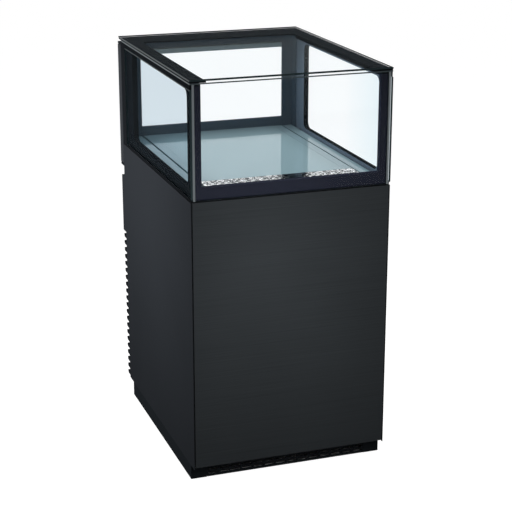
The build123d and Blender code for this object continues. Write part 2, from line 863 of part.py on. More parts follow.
# Door leaf
door_y = (back_y + door_gap, cover_y)
door_z = (cabinet_top - door_drop, roof_underside - door_top_gap)
door_window_half = half_width - door_window_margin
hinge_x = hinge_inset - half_width
hinge_y = door_y[0] + hinge_setback
door_window_z = (cabinet_top + door_window_lift, roof_underside - door_window_drop)
pane_z = (door_window_z[0] - door_pane_lap, door_window_z[1] + door_pane_lap)
pane_seat = door_pane + door_pane_recess
with BuildPart() as door_frame:
    block(both(half_width), door_y, door_z)
    fillet(door_frame.edges().filter_by(Axis.Z), door_corner_radius)
    block(both(door_window_half), door_y, door_window_z, Mode.SUBTRACT)
    seat_half = door_window_half + door_pane_lap
    block(both(seat_half), (door_y[0], door_y[0] + pane_seat), pane_z, Mode.SUBTRACT)
    block(both(seat_half), (door_y[1] - pane_seat, door_y[1]), pane_z, Mode.SUBTRACT)
    for pin_z in (door_z[0] + pin_length / 2, door_z[1] - pin_length / 2):
        with Locations((hinge_x, hinge_y, pin_z)):
            Cylinder(pin_radius + pin_running_gap, pin_length, mode=Mode.SUBTRACT)
save(door_frame, "door_frame")

# Door panes in the leaf's rebates
with BuildPart() as door_panes:
    fit_half = seat_half - pane_gap
    fit_z = (pane_z[0] + pane_gap, pane_z[1] - pane_gap)
    block(both(fit_half), (door_y[0] + door_pane_recess, door_y[0] + pane_seat), fit_z)
    block(both(fit_half), (door_y[1] - pane_seat, door_y[1] - door_pane_recess), fit_z)
save(door_panes, "door_panes")

# Gasket between the leaf and the rear frame
gasket_half = half_width - gasket_margin
gasket_z = (cabinet_top + gasket_margin / 2, door_z[1] - gasket_margin / 4)
with BuildPart() as door_gasket:
    gasket_y = (back_y + gasket_clearance, door_y[0])
    block(both(gasket_half), gasket_y, gasket_z)
    block(
        both(gasket_half - gasket_width),
        gasket_y,
        (gasket_z[0] + gasket_width, gasket_z[1] - gasket_width),
        Mode.SUBTRACT,
    )
save(door_gasket, "door_gasket")

# Hinge brackets with their pins
hinge_span = (hinge_x - hinge_inset + pane_gap, hinge_x - hinge_inset + hinge_width)
plate_y = (back_y, cover_y - hinge_air)
with BuildPart() as hinge_top:
    plate_z = (door_z[1] + hinge_air, door_z[1] + hinge_air + hinge_plate)
    block(hinge_span, plate_y, plate_z)
    block(hinge_span, (back_y, back_y + hinge_strap), (plate_z[1], roof_underside))
    with Locations((hinge_x, hinge_y, plate_z[0] - (pin_length - hinge_air) / 2)):
        Cylinder(pin_radius, pin_length - hinge_air)
save(hinge_top, "hinge_top")

with BuildPart() as hinge_bottom:
    plate_z = (door_z[0] - hinge_air - hinge_plate, door_z[0] - hinge_air)
    block(hinge_span, plate_y, plate_z)
    block(hinge_span, (back_y, back_y + hinge_strap), (plate_z[0] - hinge_leg, plate_z[0]))
    with Locations((hinge_x, hinge_y, plate_z[1] + (pin_length - hinge_air) / 2)):
        Cylinder(pin_radius, pin_length - hinge_air)
    with Locations((hinge_x, hinge_y, plate_z[1] + (hinge_air - pane_gap) / 2)):
        Cylinder(2 * pin_radius, hinge_air - pane_gap)
save(hinge_bottom, "hinge_bottom")

# Handle on the free side of the door
handle_x = half_width - handle_margin
handle_middle = sum(door_window_z) / 2
bar_y = cover_y + handle_reach - handle_radius
with BuildPart() as door_handle:
    with Locations((handle_x, bar_y, handle_middle)):
        Cylinder(handle_radius, handle_length)
    fillet(door_handle.edges(), handle_radius / 2)
    for post_z in (-1, 1):
        post_height = handle_middle + post_z * (handle_length / 2 - handle_post_inset)
        with BuildSketch(facing_back(cover_y)):
            with Locations((-handle_x, post_height)):
                Circle(handle_post_radius)
        extrude(amount=bar_y - cover_y)
save(door_handle, "door_handle")


def coil(half, y_span, z_span, floor, fins):
    """Add a finned coil: end plates down to the floor, fins between them and tubes through all."""
    for side in (-1, 1):
        block(across(side, half - end_plate, half), y_span, (floor, z_span[1]))
    fin_pitch = 2 * (half - end_plate) / (fins + 1)
    for fin in range(fins):
        fin_x = end_plate - half + (fin + 1) * fin_pitch
        block((fin_x - fin_thickness / 2, fin_x + fin_thickness / 2), y_span, z_span)
    depth = y_span[1] - y_span[0]
    tall = z_span[1] - z_span[0]
    tube_pitch = (depth / coil_tube_columns, tall / coil_tube_rows)
    with BuildSketch(Plane.YZ.offset(-half)) as tubes:
        with Locations(((y_span[0] + y_span[1]) / 2, (z_span[0] + z_span[1]) / 2)):
            with GridLocations(*tube_pitch, coil_tube_columns, coil_tube_rows):
                Circle(coil_tube_radius)
    extrude(tubes.sketch, amount=2 * half)


def shroud(half, y, z_span, middle, hole):
    """Add an upright plate with a round hole for a fan."""
    with BuildSketch(Plane.XZ.offset(-y)) as plate:
        with Locations((0, (z_span[0] + z_span[1]) / 2)):
            Rectangle(2 * half, z_span[1] - z_span[0])
        with Locations((0, middle)):
            Circle(hole, mode=Mode.SUBTRACT)
    extrude(plate.sketch, amount=-shroud_wall)


def fan(y, middle, radius):
    """Return a fan wheel whose hub starts at y: a bored hub and pitched blades."""
    with BuildPart(Plane(origin=(0, y, middle), z_dir=(0, 1, 0))) as wheel:
        with Locations((0, 0, fan_hub_length / 2)):
            Cylinder(fan_hub_radius, fan_hub_length)
        span = radius - fan_hub_radius + fan_blade_thickness
        chord = fan_hub_length / sin(radians(fan_blade_pitch)) - fan_blade_thickness
        for turn in range(fan_blades):
            angle = turn * 360 / fan_blades
            reach = radius - span / 2
            spot = (reach * cos(radians(angle)), reach * sin(radians(angle)), fan_hub_length / 2)
            with Locations(Location(spot, (0, 0, angle)) * Location((0, 0, 0), (fan_blade_pitch, 0, 0))):
                Box(span, chord, fan_blade_thickness)
        with Locations((0, 0, fan_hub_length / 2)):
            Cylinder(motor_shaft_radius + motor_shaft_gap, fan_hub_length, mode=Mode.SUBTRACT)
    return wheel


def fan_motor(y, middle, floor):
    """Return a motor behind a fan whose hub starts at y: can, shaft and a foot to the floor."""
    can_y = y + fan_hub_length + motor_gap
    with BuildPart() as motor:
        with BuildSketch(facing_back(can_y)):
            with Locations((0, middle)):
                Circle(motor_radius)
        extrude(amount=motor_length)
        with BuildSketch(facing_back(y)):
            with Locations((0, middle)):
                Circle(motor_shaft_radius)
        extrude(amount=fan_hub_length + motor_gap)
        foot_front = can_y + (motor_length - motor_foot_width) / 2
        foot_y = (foot_front, foot_front + motor_foot_width)
        block(both(motor_foot / 2), foot_y, (floor, middle))
        block(both(motor_foot_width / 2), foot_y, (floor, floor + motor_foot))
    return motor


# Condenser, its shroud, fan and motor
condenser_y = (front_y + condenser_setback, front_y + condenser_setback + condenser_depth)
condenser_z = (condenser_bottom, condenser_bottom + condenser_height)
condenser_middle = (condenser_z[0] + condenser_z[1]) / 2
condenser_shroud_y = condenser_y[1] + shroud_gap
condenser_fan_y = condenser_shroud_y + fan_setback
with BuildPart() as condenser_coil:
    coil(condenser_half_width, condenser_y, condenser_z, pan_top, condenser_fins)
save(condenser_coil, "condenser_coil")

with BuildPart() as condenser_shroud:
    shroud_half = condenser_half_width + shroud_margin
    shroud_z = (pan_top, condenser_z[1] + shroud_margin)
    shroud(shroud_half, condenser_shroud_y, shroud_z, condenser_middle, condenser_fan_radius + fan_tip_gap)
save(condenser_shroud, "condenser_shroud")

save(fan(condenser_fan_y, condenser_middle, condenser_fan_radius), "condenser_fan")
save(fan_motor(condenser_fan_y, condenser_middle, pan_top), "condenser_motor")

# Evaporator in the well, its shroud, fan and motor
evaporator_y = (front_y + evaporator_setback, front_y + evaporator_setback + evaporator_depth)
evaporator_z = (cavity_floor + evaporator_lift, cavity_floor + evaporator_lift + evaporator_height)
evaporator_middle = (evaporator_z[0] + evaporator_z[1]) / 2
evaporator_shroud_y = evaporator_y[1] + shroud_gap
evaporator_fan_y = evaporator_shroud_y + fan_setback
with BuildPart() as evaporator_coil:
    coil(evaporator_half_width, evaporator_y, evaporator_z, cavity_floor, evaporator_fins)
save(evaporator_coil, "evaporator_coil")

with BuildPart() as evaporator_shroud:
    shroud_half = evaporator_half_width + shroud_margin
    shroud_z = (cavity_floor, evaporator_z[1] + shroud_margin)
    shroud(shroud_half, evaporator_shroud_y, shroud_z, evaporator_middle, evaporator_fan_radius + fan_tip_gap)
save(evaporator_shroud, "evaporator_shroud")

save(fan(evaporator_fan_y, evaporator_middle, evaporator_fan_radius), "evaporator_fan")
save(fan_motor(evaporator_fan_y, evaporator_middle, cavity_floor), "evaporator_motor")

# Compressor: a domed shell on a plate
plate_bottom = pan_top + mount_height
shell_bottom = plate_bottom + compressor_plate
with BuildPart() as compressor:
    with Locations((compressor_x, compressor_y, shell_bottom + compressor_height / 2)):
        Cylinder(compressor_radius, compressor_height)
    fillet(compressor.faces().sort_by(Axis.Z)[-1].edges(), compressor_dome)
    plate_x = (compressor_x - compressor_plate_width / 2, compressor_x + compressor_plate_width / 2)
    plate_y_span = (compressor_y - compressor_plate_depth / 2, compressor_y + compressor_plate_depth / 2)
    block(plate_x, plate_y_span, (plate_bottom, shell_bottom))
save(compressor, "compressor")

with BuildPart() as compressor_mounts:
    with BuildSketch(Plane.XY.offset(pan_top)):
        with Locations((compressor_x, compressor_y)):
            mount_run = compressor_plate_width - 2 * mount_inset
            mount_rise = compressor_plate_depth - 2 * mount_inset
            with GridLocations(mount_run, mount_rise, 2, 2):
                Circle(mount_radius)
    extrude(amount=mount_height)
save(compressor_mounts, "compressor_mounts")

# Condensate tray and the drain pipe above it
tray_x_span = (tray_x - tray_width / 2, tray_x + tray_width / 2)
tray_y_span = (tray_y - tray_depth / 2, tray_y + tray_depth / 2)
with BuildPart() as condensate_tray:
    block(tray_x_span, tray_y_span, (pan_top, pan_top + tray_height))
    inner_x = (tray_x_span[0] + tray_wall, tray_x_span[1] - tray_wall)
    inner_y = (tray_y_span[0] + tray_wall, tray_y_span[1] - tray_wall)
    block(inner_x, inner_y, (pan_top + tray_wall, pan_top + tray_height), Mode.SUBTRACT)
save(condensate_tray, "condensate_tray")

with BuildPart() as drain_pipe:
    with BuildSketch(Plane.XY.offset(pan_top + drain_end_gap)):
        with Locations((tray_x, tray_y)):
            Circle(drain_radius + drain_pipe_wall)
            Circle(drain_radius, mode=Mode.SUBTRACT)
    extrude(amount=well_bottom - pan_top - drain_end_gap)
save(drain_pipe, "drain_pipe")


def pipe(points):
    """Add a round pipe along straight runs joined by arcs, or along one straight run."""
    with BuildLine() as route:
        if len(points) > 2:
            FilletPolyline(*points, radius=pipe_bend)
        else:
            Line(*points)
    with BuildSketch(Plane(origin=route.line @ 0, z_dir=route.line % 0)) as bore:
        Circle(pipe_radius)
    sweep(bore.sketch, path=route.line)


# Refrigerant pipes, one solid each
coil_middle_y = (condenser_y[0] + condenser_y[1]) / 2
lane_left = -(condenser_half_width + discharge_lane)
lane_right = condenser_half_width + liquid_lane
with BuildPart() as refrigerant_pipes:
    suction_x = compressor_x + compressor_radius
    pipe(
        [
            (suction_x, compressor_y, suction_height),
            (suction_x + suction_offset, compressor_y, suction_height),
            (suction_x + suction_offset, compressor_y, well_bottom),
        ]
    )
    discharge_y = compressor_y - compressor_radius
    pipe(
        [
            (compressor_x, discharge_y, discharge_height),
            (compressor_x, discharge_y - suction_offset, discharge_height),
            (lane_left, discharge_y - suction_offset, discharge_height),
            (lane_left, coil_middle_y, discharge_height),
            (-condenser_half_width, coil_middle_y, discharge_height),
        ]
    )
    pipe(
        [
            (condenser_half_width, coil_middle_y, liquid_height),
            (lane_right, coil_middle_y, liquid_height),
            (lane_right, liquid_y, liquid_height),
            (lane_right, liquid_y, dryer_bottom),
        ]
    )
    pipe([(lane_right, liquid_y, dryer_bottom + dryer_length), (lane_right, liquid_y, well_bottom)])
save(refrigerant_pipes, "refrigerant_pipes")

with BuildPart() as filter_dryer:
    with Locations((lane_right, liquid_y, dryer_bottom + dryer_length / 2)):
        Cylinder(dryer_radius, dryer_length)
    fillet(filter_dryer.edges(), dryer_radius / 3)
save(filter_dryer, "filter_dryer")
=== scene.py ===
import json
import math

import bmesh
import bpy
from mathutils import Matrix, Vector


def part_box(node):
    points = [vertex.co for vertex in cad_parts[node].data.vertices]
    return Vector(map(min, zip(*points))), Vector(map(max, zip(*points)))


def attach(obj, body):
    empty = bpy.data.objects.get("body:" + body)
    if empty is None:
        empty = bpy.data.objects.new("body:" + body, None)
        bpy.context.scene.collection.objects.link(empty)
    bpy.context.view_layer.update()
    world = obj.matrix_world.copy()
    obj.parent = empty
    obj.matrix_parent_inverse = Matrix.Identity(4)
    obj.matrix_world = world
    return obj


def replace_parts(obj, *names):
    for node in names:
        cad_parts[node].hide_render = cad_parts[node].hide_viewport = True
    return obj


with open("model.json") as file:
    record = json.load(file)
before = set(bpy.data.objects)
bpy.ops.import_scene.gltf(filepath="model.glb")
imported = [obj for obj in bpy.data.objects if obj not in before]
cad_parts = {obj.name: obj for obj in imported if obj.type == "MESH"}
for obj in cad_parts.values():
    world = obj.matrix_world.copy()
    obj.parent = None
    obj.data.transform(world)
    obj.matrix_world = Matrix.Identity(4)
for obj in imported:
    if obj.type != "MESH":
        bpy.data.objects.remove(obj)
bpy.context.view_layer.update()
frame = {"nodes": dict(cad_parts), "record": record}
nodes = frame["nodes"]
scene = bpy.context.scene

MM = 0.001

# Planes where a finish changes, in metres
WELL_HALF_WIDTH = 233 * MM
WELL_RIM = 851 * MM
FRAME_HALF_WIDTH = 299 * MM
FRAME_BACK = 334 * MM
FRONT_UNIT_BACK = -390 * MM
ROOF_UNIT_LOW = 1180 * MM
INNER_ROOF_LOW = 1185.9 * MM

# Linear colours that several finishes share
EDGE = (0.018, 0.032, 0.036)
INNER_EDGE = (0.07, 0.09, 0.1)
CLEAR = (0.992, 0.996, 0.998)
# Darker glass tint for the left pane only, painted shade
LEFT_PANE_SHADE = (0.83, 0.877, 0.905)
BLUISH = (0.9, 0.95, 0.97)
STEEL = (0.030, 0.0335, 0.039)
BORDER = (0.022, 0.0245, 0.04)

# Noise rarely leaves this range, so finishes are spread over it
NOISE_LOW, NOISE_HIGH = 0.3, 0.7

# Sockets of the Mix node for colours
COLOUR_A, COLOUR_B, COLOUR_RESULT = 6, 7, 2

# Axes as indices
X, Y, Z = 0, 1, 2


class Graph:
    """The node tree of a material or a world, with short ways to add and link nodes."""

    def __init__(self, owner, output="OutputMaterial"):
        owner.use_nodes = True
        self.owner = owner
        self.tree = owner.node_tree
        self.tree.nodes.clear()
        self.output = self.add(output)

    def put(self, socket, value):
        if isinstance(value, bpy.types.NodeSocket):
            self.tree.links.new(value, socket)
        else:
            socket.default_value = value

    def add(self, kind, inputs=None, **settings):
        node = self.tree.nodes.new("ShaderNode" + kind)
        for key, value in settings.items():
            setattr(node, key, value)
        for key, value in (inputs or {}).items():
            self.put(node.inputs[key], value)
        return node

    def maths(self, operation, a, b=0.0):
        return self.add("Math", {0: a, 1: b}, operation=operation).outputs[0]

    def remap(self, value, low, high, to_low, to_high):
        keys = {"From Min": low, "From Max": high, "To Min": to_low, "To Max": to_high}
        return self.add("MapRange", {"Value": value, **keys}).outputs["Result"]

    def split(self, vector):
        return self.add("SeparateXYZ", {0: vector}).outputs

    def blend(self, factor, a, b):
        node = self.add("Mix", {"Factor": factor}, data_type="RGBA")
        self.put(node.inputs[COLOUR_A], a)
        self.put(node.inputs[COLOUR_B], b)
        return node.outputs[COLOUR_RESULT]

    def shaders(self, factor, a, b):
        return self.add("MixShader", {0: factor, 1: a, 2: b}).outputs[0]

    def principled(self, inputs):
        return self.add("BsdfPrincipled", inputs).outputs[0]

    def finish(self, shader):
        self.tree.links.new(shader, self.output.inputs["Surface"])
        return self.owner


def new_graph(name):
    return Graph(bpy.data.materials.new(name))


def rgba(colour, gain=1.0):
    return (*(min(1.0, c * gain) for c in colour), 1.0)


def surface(
    name,
    colour,
    rough,
    metal=0.0,
    spec=0.5,
    grain=60,
    vary=0.15,
    rough_vary=0.08,
    bump=0.0,
    depth=0.1,
):
    """A solid finish whose colour, gloss and height vary with noise.

    grain is the noise's scale per metre, either one number or one for each of x, y and z.
    depth is the height of the bumps in millimetres.
    """
    g = new_graph(name)
    coord = g.add("TexCoord")
    scale = (grain,) * 3 if isinstance(grain, int) else grain
    place = g.add("Mapping", {"Vector": coord.outputs["Object"], "Scale": scale})
    fine_inputs = {"Vector": place.outputs[0], "Scale": 1.0, "Detail": 5.0, "Roughness": 0.6}
    fine = g.add("TexNoise", fine_inputs).outputs[0]
    wide_inputs = {"Vector": coord.outputs["Object"], "Scale": 3.0, "Detail": 2.0}
    wide = g.add("TexNoise", wide_inputs).outputs[0]
    fine_share = 0.7
    mix = g.maths("ADD", g.maths("MULTIPLY", fine, fine_share), g.maths("MULTIPLY", wide, 1 - fine_share))
    share = g.remap(mix, NOISE_LOW, NOISE_HIGH, 0.0, 1.0)
    least, most = max(0.02, rough - rough_vary), min(1.0, rough + rough_vary)
    inputs = {
        "Base Color": g.blend(share, rgba(colour, 1 - vary), rgba(colour, 1 + vary)),
        "Metallic": metal,
        "Roughness": g.remap(mix, NOISE_LOW, NOISE_HIGH, least, most),
        "Specular IOR Level": spec,
    }
    if bump:
        height = g.add("Bump", {"Height": fine, "Strength": bump, "Distance": depth * MM})
        inputs["Normal"] = height.outputs[0]
    return g.finish(g.principled(inputs))


def pane(name, axis, tint, edge, gloss_level, low_edge=None, front_tint=None):
    """Thin glass: clear and tinted on its faces, dark and solid on its narrow edges.

    axis is the normal of the faces; below low_edge all sides count as faces, for panes that stand.
    front_tint replaces tint towards the front of the object.
    """
    g = new_graph(name)
    coord = g.add("TexCoord")
    spot = g.split(coord.outputs["Object"])
    least_face = 0.85
    along = g.maths("ABSOLUTE", g.split(coord.outputs["Normal"])[axis])
    face = g.maths("GREATER_THAN", along, least_face)
    if low_edge is not None:
        face = g.maths("MAXIMUM", face, g.maths("LESS_THAN", spot[Z], low_edge))
    # Gloss rises with the slant as it does on real glass, alike from both sides of the pane
    head_on = 0.04
    slant = g.maths("POWER", g.add("LayerWeight", {"Blend": 0.5}).outputs["Facing"], 5.0)
    gloss = g.maths("ADD", g.maths("MULTIPLY", slant, 1 - head_on), head_on)
    gloss = g.maths("MULTIPLY", gloss, gloss_level)
    clear = g.add("BsdfTransparent", {"Color": rgba(tint)})
    if front_tint is not None:
        share = g.remap(spot[Y], -390 * MM, -60 * MM, 0.0, 1.0)
        g.put(clear.inputs["Color"], g.blend(share, rgba(front_tint), rgba(tint)))
    shine = g.add("BsdfGlossy", {"Color": (0.85, 0.93, 0.95, 1.0), "Roughness": 0.03})
    sheet = g.shaders(gloss, clear.outputs[0], shine.outputs[0])
    wave = g.add("TexNoise", {"Vector": coord.outputs["Object"], "Scale": 40.0}).outputs[0]
    rim_tone = g.blend(wave, rgba(edge, 0.7), rgba(edge, 1.3))
    rim = g.principled({"Base Color": rim_tone, "Roughness": 0.3, "Specular IOR Level": 0.08})
    return g.finish(g.shaders(face, rim, sheet))


def two_tone(g, coord, share, first, second):
    """A satin finish in two colours, split by share, with a fine grain."""
    noise_inputs = {"Vector": coord.outputs["Object"], "Scale": 220.0, "Detail": 4.0}
    fine = g.add("TexNoise", noise_inputs).outputs[0]
    bump = g.add("Bump", {"Height": fine, "Strength": 0.2, "Distance": 0.1 * MM})
    brightness = g.remap(fine, NOISE_LOW, NOISE_HIGH, 0.92, 1.08)
    tone = g.add("HueSaturation", {"Value": brightness, "Color": g.blend(share, first, second)})
    inputs = {"Base Color": tone.outputs[0], "Roughness": 0.5}
    inputs["Specular IOR Level"] = 0.0
    inputs["Normal"] = bump.outputs[0]
    return g.finish(g.principled(inputs))


def boxed_finish(name, half_width, axis, limit, outside, inside):
    """Two colours: inside where x is within half_width and the axis is below limit."""
    g = new_graph(name)
    coord = g.add("TexCoord")
    spot = g.split(coord.outputs["Object"])
    within = g.maths("LESS_THAN", g.maths("ABSOLUTE", spot[X]), half_width)
    within = g.maths("MULTIPLY", within, g.maths("LESS_THAN", spot[axis], limit))
    return two_tone(g, coord, within, rgba(outside), rgba(inside))


def border_finish():
    """The print between the panes: blue-black in front, grey-blue on the inner sides, else near black."""
    g = new_graph("border_shell")
    coord = g.add("TexCoord")
    spot = g.split(coord.outputs["Object"])
    facing = g.split(coord.outputs["Normal"])
    inward = g.maths("LESS_THAN", g.maths("MULTIPLY", facing[X], spot[X]), -0.1)
    behind = g.maths("GREATER_THAN", spot[Y], FRONT_UNIT_BACK)
    above = g.maths("GREATER_THAN", spot[Z], ROOF_UNIT_LOW)
    side = g.blend(inward, (0.009, 0.0105, 0.013, 1.0), (0.15, 0.19, 0.24, 1.0))
    rest = g.blend(above, side, (0.008, 0.0098, 0.0118, 1.0))
    return two_tone(g, coord, g.maths("MAXIMUM", behind, above), rgba(BORDER), rest)


def painted_glint_finish():
    """Perforated steel whose colour is painted in short pale and dark flecks: painted glints and painted
    dark reflections.
    """
    g = new_graph("grille_painted_glints")
    coord = g.add("TexCoord")
    place_inputs = {"Vector": coord.outputs["Object"], "Rotation": (0, 0, 0.5), "Scale": (130, 60, 130)}
    place = g.add("Mapping", place_inputs)
    glint_noise_inputs = {"Vector": place.outputs[0], "Scale": 1.0, "Detail": 2.0, "Distortion": 1.2}
    glint_noise = g.add("TexNoise", glint_noise_inputs).outputs[0]
    share = g.remap(glint_noise, 0.47, 0.53, 0.0, 1.0)
    # Painted glints: pale flecks stand for highlights and dark flecks for dark reflections in the steel
    tone = g.blend(share, (0.06, 0.08, 0.09, 1.0), (1.0, 1.0, 1.0, 1.0))
    bump = g.add("Bump", {"Height": glint_noise, "Strength": 0.3, "Distance": 1 * MM})
    inputs = {"Base Color": tone, "Metallic": 1.0, "Roughness": 0.08, "Normal": bump.outputs[0]}
    return g.finish(g.principled(inputs))


def glow_finish():
    """The lit segments of the display."""
    g = new_graph("digit_glow")
    inputs = {"Base Color": (0.25, 0.55, 0.6, 1.0), "Roughness": 0.5}
    inputs["Emission Color"] = (0.35, 0.85, 0.9, 1.0)
    inputs["Emission Strength"] = 0.8
    return g.finish(g.principled(inputs))


# Finishes by the record's material slots
materials = {
    "cabinet_steel": surface("side_steel", STEEL, 0.6, spec=0.0, grain=260, vary=0.1, bump=0.25),
    "door_profile": surface("door_paint", STEEL, 0.55, spec=0.01, grain=260, vary=0.1, bump=0.25),
    "brushed_panel": surface(
        "brushed_front", (0.038, 0.043, 0.047), 0.5, 0.1, 0.02, (3, 900, 1400), 0.22, 0.1, 0.3, 0.05
    ),
    "plinth_steel": surface("plinth_paint", (0.022, 0.026, 0.030), 0.6, spec=0.0, grain=300, bump=0.3),
    "black_seal": surface("seal_black", (0.009, 0.0105, 0.0125), 0.5, spec=0.0, grain=150, bump=0.2),
    "glass_border": surface("border_print", BORDER, 0.35, spec=0.01, grain=90, vary=0.06),
    "silver_trim": surface(
        "silver_strip", (0.14, 0.16, 0.17), 0.38, 0.6, 0.3, (900, 900, 8), 0.12, 0.1, 0.15, 0.05
    ),
    "deck_gloss": surface("deck_inlay", (0.25, 0.36, 0.395), 0.05, 0.0, 0.13, 12, 0.03, 0.02),
    "deck_matt": surface("deck_paint", (0.235, 0.34, 0.38), 0.06, 0.0, 0.13, 60, 0.04, 0.02),
    "frame_paint": surface(
        "frame_paint", (0.065, 0.085, 0.1), 0.42, spec=0.1, grain=200, vary=0.06, bump=0.15
    ),
    "lens": surface("opal_lens", (0.24, 0.31, 0.33), 0.3, spec=0.4, vary=0.04),
    "rubber": surface("rubber", (0.012, 0.012, 0.013), 0.75, spec=0.2, grain=400, bump=0.4),
    "zinc_steel": surface("zinc_plate", (0.36, 0.37, 0.37), 0.38, 1.0, 0.5, 90, 0.25, 0.12, 0.1),
    "foam_liner": surface(
        "well_liner", (0.62, 0.66, 0.67), 0.45, spec=0.4, grain=150, vary=0.05, bump=0.2
    ),
    "coil_metal": surface("fin_metal", (0.55, 0.56, 0.57), 0.3, 1.0, 0.5, 300, 0.15, 0.1, 0.1),
    "copper": surface("copper_pipe", (0.6, 0.28, 0.15), 0.3, 1.0, 0.5, 120, 0.3, 0.12),
    "machine_black": surface("machine_black", (0.015, 0.015, 0.016), 0.4, spec=0.4, grain=300, bump=0.3),
    "fan_plastic": surface("fan_plastic", (0.02, 0.02, 0.022), 0.5, spec=0.35, grain=300, bump=0.2),
    "tray_plastic": surface("tray_plastic", (0.05, 0.055, 0.06), 0.5, spec=0.35, grain=300, bump=0.25),
    "fascia": surface("fascia_black", (0.014, 0.015, 0.017), 0.32, spec=0.35, grain=400, bump=0.2),
    "display": surface("display_dark", (0.006, 0.008, 0.009), 0.08, vary=0.05),
    "button_grey": surface("button_grey", (0.09, 0.095, 0.1), 0.45, spec=0.4, grain=500, bump=0.2),
    "board": surface("board_green", (0.02, 0.07, 0.035), 0.35, spec=0.4, grain=300, vary=0.3),
}
screw_metal = surface("screw_metal", (0.16, 0.165, 0.17), 0.35, 1.0, 0.5, 400, 0.2, 0.1, 0.15)
mark_white = surface("mark_white", (0.62, 0.65, 0.66), 0.5, spec=0.3, grain=300, vary=0.04)
digit_glow = glow_finish()

# Finishes of single nodes, which come before their slots' finishes
by_node = {
    "front_pane": pane("glass_front", Y, CLEAR, EDGE, 0.06),
    # The left pane alone is tinted darker than the same glass on the right: painted shade of its slanted
    # view
    "left_pane": pane("glass_left", X, LEFT_PANE_SHADE, EDGE, 0.02),
    "right_pane": pane("glass_right", X, CLEAR, EDGE, 0.05, front_tint=BLUISH),
    "roof_pane": pane("glass_roof", Z, CLEAR, EDGE, 0.015),
    "inner_panes": pane("glass_inner", Z, CLEAR, INNER_EDGE, 0.03, low_edge=INNER_ROOF_LOW),
    "door_panes": pane("glass_door", Y, CLEAR, EDGE, 0.06),
    # The well's liner is painted dark as shade under the deck: dim grey inside its box, near black above
    # the rim and beyond its sides, so the grille's slots show dark
    "insulated_well": boxed_finish(
        "well_painted_shade", WELL_HALF_WIDTH, Z, WELL_RIM, (0.0105, 0.0115, 0.013), (0.2, 0.23, 0.24)
    ),
    "rear_frame": boxed_finish(
        "frame_shell", FRAME_HALF_WIDTH, Y, FRAME_BACK, (0.012, 0.0135, 0.016), (0.07, 0.097, 0.124)
    ),
    "glass_borders": border_finish(),
    # The air grille gets painted glints and painted dark reflections in its colour
    "air_grille": painted_glint_finish(),
}

slots = {part["node"]: part["material_slot"] for part in frame["record"]["subparts"]}
for name, node in nodes.items():
    finish = by_node.get(name) or materials[slots[name]]
    if not node.material_slots:
        node.data.materials.append(finish)
    for material_slot in node.material_slots:
        material_slot.link = "OBJECT"
        material_slot.material = finish

# Small rounded edges on the folded and extruded pieces, in millimetres
EDGE_WIDTHS = {
    "plinth_rails": 0.5,
    "plinth_grille": 0.4,
    "door_frame": 0.8,
    "control_box": 0.8,
    "rear_frame": 0.6,
    "corner_strips": 0.4,
    "side_ledges": 0.6,
    "deck_tray": 0.4,
    "deck_inlay": 0.3,
    "front_pane": 0.4,
    "control_fascia": 0.3,
    "hinge_top": 0.4,
    "hinge_bottom": 0.4,
    "top_rails": 0.5,
    "bottom_rails": 0.3,
}
for name, width in EDGE_WIDTHS.items():
    bevel = nodes[name].modifiers.new("rounded", "BEVEL")
    bevel.width = width * MM
    bevel.segments = 2
    bevel.limit_method = "ANGLE"
    bevel.angle_limit = math.radians(40)
    bevel.use_clamp_overlap = True


def new_object(name, bm, finish):
    """Turn a bmesh into an object in the scene."""
    mesh = bpy.data.meshes.new(name)
    bm.normal_update()
    bm.to_mesh(mesh)
    bm.free()
    mesh.materials.append(finish)
    obj = bpy.data.objects.new(name, mesh)
    scene.collection.objects.link(obj)
    return obj


def piece(name, bm, finish, body):
    """Turn a bmesh into a piece that rides on a body."""
    obj = new_object(name, bm, finish)
    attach(obj, body)
    return obj


def prism(bm, outline, y, rise):
    """Add a flat prism in the XZ plane.

    outline is (x, z) pairs in millimetres, y is in metres, and rise is the thickness in millimetres.
    """
    low = [bm.verts.new((x * MM, y, z * MM)) for x, z in outline]
    high = [bm.verts.new((x * MM, y + rise * MM, z * MM)) for x, z in outline]
    bm.faces.new(low)
    bm.faces.new(high[::-1])
    for k in range(len(outline)):
        n = (k + 1) % len(outline)
        bm.faces.new((low[n], low[k], high[k], high[n]))


def screw(bm, spot, radius, height, turn):
    """Add a domed screw head with a crossed recess, facing the back; sizes are in millimetres."""
    arms = 4
    steps_per_arm = 6
    steps = arms * steps_per_arm
    beside_arm = (1, steps_per_arm - 1)
    dome = ((1.0, 0.0), (1.0, 0.45), (0.93, 0.72), (0.78, 0.9), (0.58, 1.0))
    recess = ((1.0, 0.5, 0.17), (0.45, 0.4, 0.12))
    arm_narrowing = 0.6
    facing_back = Vector((0, 1, 0)).to_track_quat("Z", "Y").to_matrix()
    turned = facing_back @ Matrix.Rotation(turn, 3, "Z")
    rings = []

    def add_ring(reaches, angles, rise):
        ring = []
        for reach, angle in zip(reaches, angles):
            across = Vector((reach * math.cos(angle), reach * math.sin(angle), 0)) * radius
            local = (across + Vector((0, 0, height * rise))) * MM
            ring.append(bm.verts.new(Vector(spot) + turned @ local))
        rings.append(ring)

    even = [2 * math.pi * k / steps for k in range(steps)]
    pinched = []
    for k, angle in enumerate(even):
        middle = 2 * math.pi * round(k / steps_per_arm) / arms
        near_arm = k % steps_per_arm in beside_arm
        pinched.append(middle + (angle - middle) * arm_narrowing if near_arm else angle)
    for scale, rise in dome:
        add_ring([scale] * steps, even, rise)
    for rise, arm, notch in recess:
        reaches = [arm if k % steps_per_arm in (0, *beside_arm) else notch for k in range(steps)]
        add_ring(reaches, pinched, rise)
    for low, high in zip(rings, rings[1:]):
        for k in range(steps):
            n = (k + 1) % steps
            bm.faces.new((low[k], low[n], high[n], high[k]))
    bm.faces.new(rings[-1])
    bm.faces.new(rings[0][::-1])


